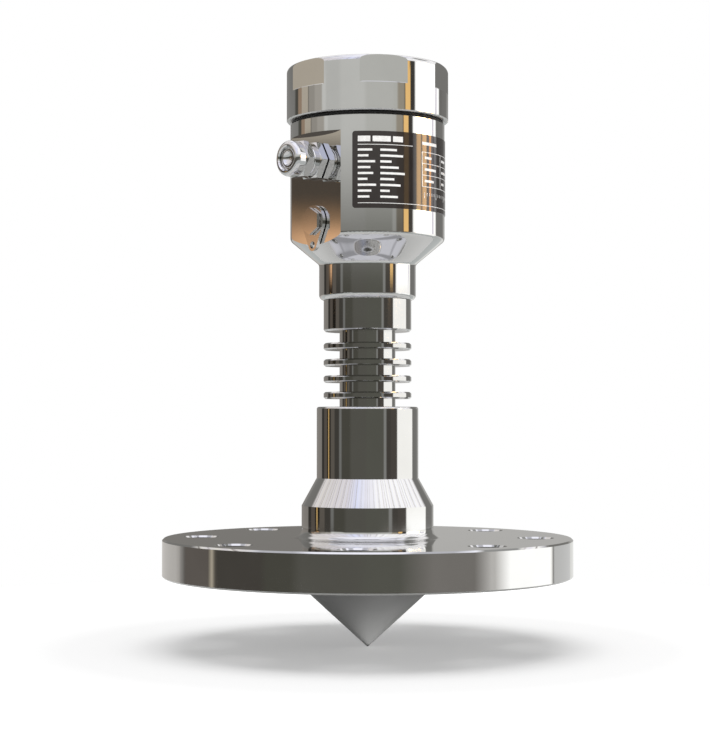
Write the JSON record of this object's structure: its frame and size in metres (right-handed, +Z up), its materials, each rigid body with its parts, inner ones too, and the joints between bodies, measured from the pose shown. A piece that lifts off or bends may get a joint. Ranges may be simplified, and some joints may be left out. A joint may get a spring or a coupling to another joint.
{
  "type": "radar level transmitter",
  "caption": "Non-contact radar level transmitter with a round steel housing, screw lid, cable gland, finned neck, bolted process flange and plastic drop antenna.",
  "frame": {"origin": "centre of the bolt circle on the flange's lower face", "axes": "+Z up the neck towards the lid, -X along the cable gland, the nameplate faces -Y"},
  "size_m": [0.22, 0.22, 0.3115],
  "materials": {
    "turned_steel": "turned and polished stainless steel",
    "polished_steel": "polished stainless steel",
    "gland_steel": "polished stainless steel",
    "screw_steel": "bright stainless steel",
    "tag_steel": "punched stainless sheet",
    "spring_steel": "spring steel",
    "horn_steel": "turned stainless steel",
    "tube_brass": "drawn brass",
    "module_aluminium": "machined aluminium",
    "antenna_plastic": "satin grey polypropylene",
    "insert_plastic": "moulded plastic",
    "terminal_plastic": "moulded plastic",
    "seal_rubber": "black rubber",
    "plate_enamel": "gloss black enamel"
  },
  "bodies": {
    "process_side": {"process_flange": "turned_steel", "cooling_neck": "turned_steel", "antenna_lens": "antenna_plastic", "antenna_horn": "horn_steel", "waveguide_tube": "tube_brass", "lens_seal": "seal_rubber", "swivel_seal": "seal_rubber", "retaining_ring": "spring_steel"},
    "head": {"housing": "polished_steel", "nameplate": "plate_enamel", "electronics_insert": "insert_plastic", "insert_screws": "screw_steel", "rf_module": "module_aluminium", "terminal_block": "terminal_plastic", "terminal_screws": "screw_steel", "gland_washer": "seal_rubber", "gland_body": "gland_steel", "gland_seal": "seal_rubber", "gland_plug": "gland_steel", "earth_lock_washer": "spring_steel", "earth_tag": "tag_steel"},
    "lid_carrier": {"lid_seal": "seal_rubber"},
    "lid": {"lid": "polished_steel"},
    "gland_travel": {"gland_slip_ring": "gland_steel"},
    "gland_nut": {"gland_nut": "gland_steel"},
    "earth_travel": {"earth_spring_washer": "spring_steel"},
    "earth_bolt": {"earth_bolt": "screw_steel"}
  },
  "joints": [
    {"name": "housing_swivel", "type": "hinge", "parent": "process_side", "child": "head", "pos_m": [0, 0, 0.156], "axis": [0, 0, 1], "range_deg": [-165, 165]},
    {"name": "lid_lift", "type": "slide", "parent": "head", "child": "lid_carrier", "axis": [0, 0, 1], "range_m": [0, 0.0122]},
    {"name": "lid_turn", "type": "hinge", "parent": "lid_carrier", "child": "lid", "pos_m": [0, 0, 0.25], "axis": [0, 0, 1], "range_deg": [0, 2160]},
    {"name": "gland_nut_travel", "type": "slide", "parent": "head", "child": "gland_travel", "axis": [-1, 0, 0], "range_m": [0, 0.0047]},
    {"name": "gland_nut_turn", "type": "hinge", "parent": "gland_travel", "child": "gland_nut", "pos_m": [-0.05, 0, 0.2199], "axis": [-1, 0, 0], "range_deg": [0, 1080]},
    {"name": "earth_bolt_travel", "type": "slide", "parent": "head", "child": "earth_travel", "axis": [-1, 0, 0], "range_m": [0, 0.0077]},
    {"name": "earth_bolt_turn", "type": "hinge", "parent": "earth_travel", "child": "earth_bolt", "pos_m": [-0.04, 0, 0.1881], "axis": [-1, 0, 0], "range_deg": [0, 2160]}
  ],
  "couplings": [
    {"joint": "lid_lift", "follows": "lid_turn", "m_per_rad": 0.00031831},
    {"joint": "gland_nut_travel", "follows": "gland_nut_turn", "m_per_rad": 0.00023873},
    {"joint": "earth_bolt_travel", "follows": "earth_bolt_turn", "m_per_rad": 0.00019894}
  ]
}
